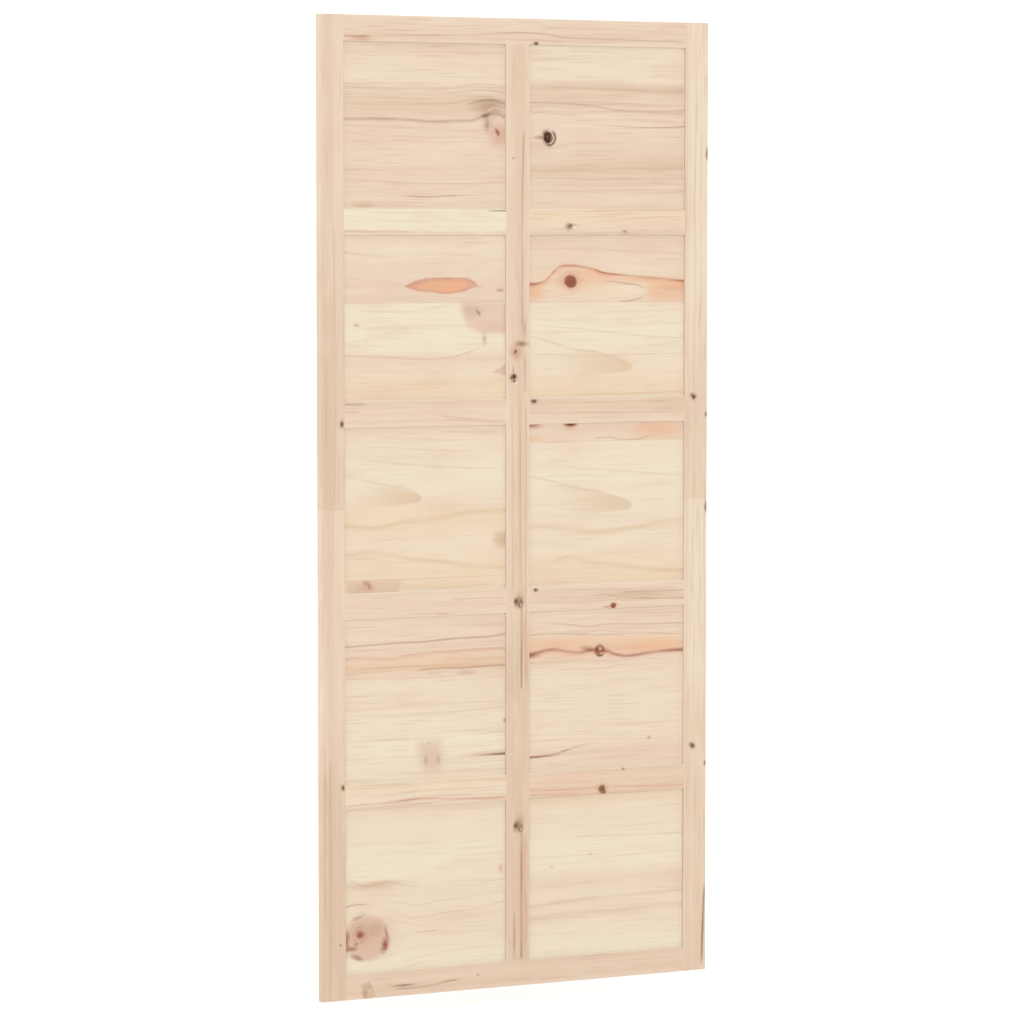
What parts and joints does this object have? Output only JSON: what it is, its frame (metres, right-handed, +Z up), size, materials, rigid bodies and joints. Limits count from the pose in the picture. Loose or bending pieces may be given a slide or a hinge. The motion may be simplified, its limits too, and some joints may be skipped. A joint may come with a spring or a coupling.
{
  "type": "barn door",
  "caption": "Flat frame-and-panel sliding barn door leaf in raw knotty pine: grooved stiles, mullion and cross rails hold a grid of recessed panels. Hangs by its top edge.",
  "frame": {"origin": "middle of the top edge's flat face, halfway across the width and halfway through the thickness, where the leaf's hangers fasten", "axes": "+X across the leaf to the viewer's right, -Y out of the front face, +Z up along the stiles"},
  "size_m": [0.9, 0.018, 2.045],
  "materials": {
    "pine_frame": "raw, sanded, knotty",
    "pine_panel": "raw, sanded, knotty"
  },
  "bodies": {
    "root": {"left_stile": "pine_frame", "right_stile": "pine_frame", "top_rail": "pine_frame", "bottom_rail": "pine_frame", "mullion": "pine_frame", "left_cross_rail_1": "pine_frame", "left_cross_rail_2": "pine_frame", "left_cross_rail_3": "pine_frame", "left_cross_rail_4": "pine_frame", "right_cross_rail_1": "pine_frame", "right_cross_rail_2": "pine_frame", "right_cross_rail_3": "pine_frame", "right_cross_rail_4": "pine_frame", "left_panel_1": "pine_panel", "left_panel_2": "pine_panel", "left_panel_3": "pine_panel", "left_panel_4": "pine_panel", "left_panel_5": "pine_panel", "right_panel_1": "pine_panel", "right_panel_2": "pine_panel", "right_panel_3": "pine_panel", "right_panel_4": "pine_panel", "right_panel_5": "pine_panel"}
  },
  "joints": []
}
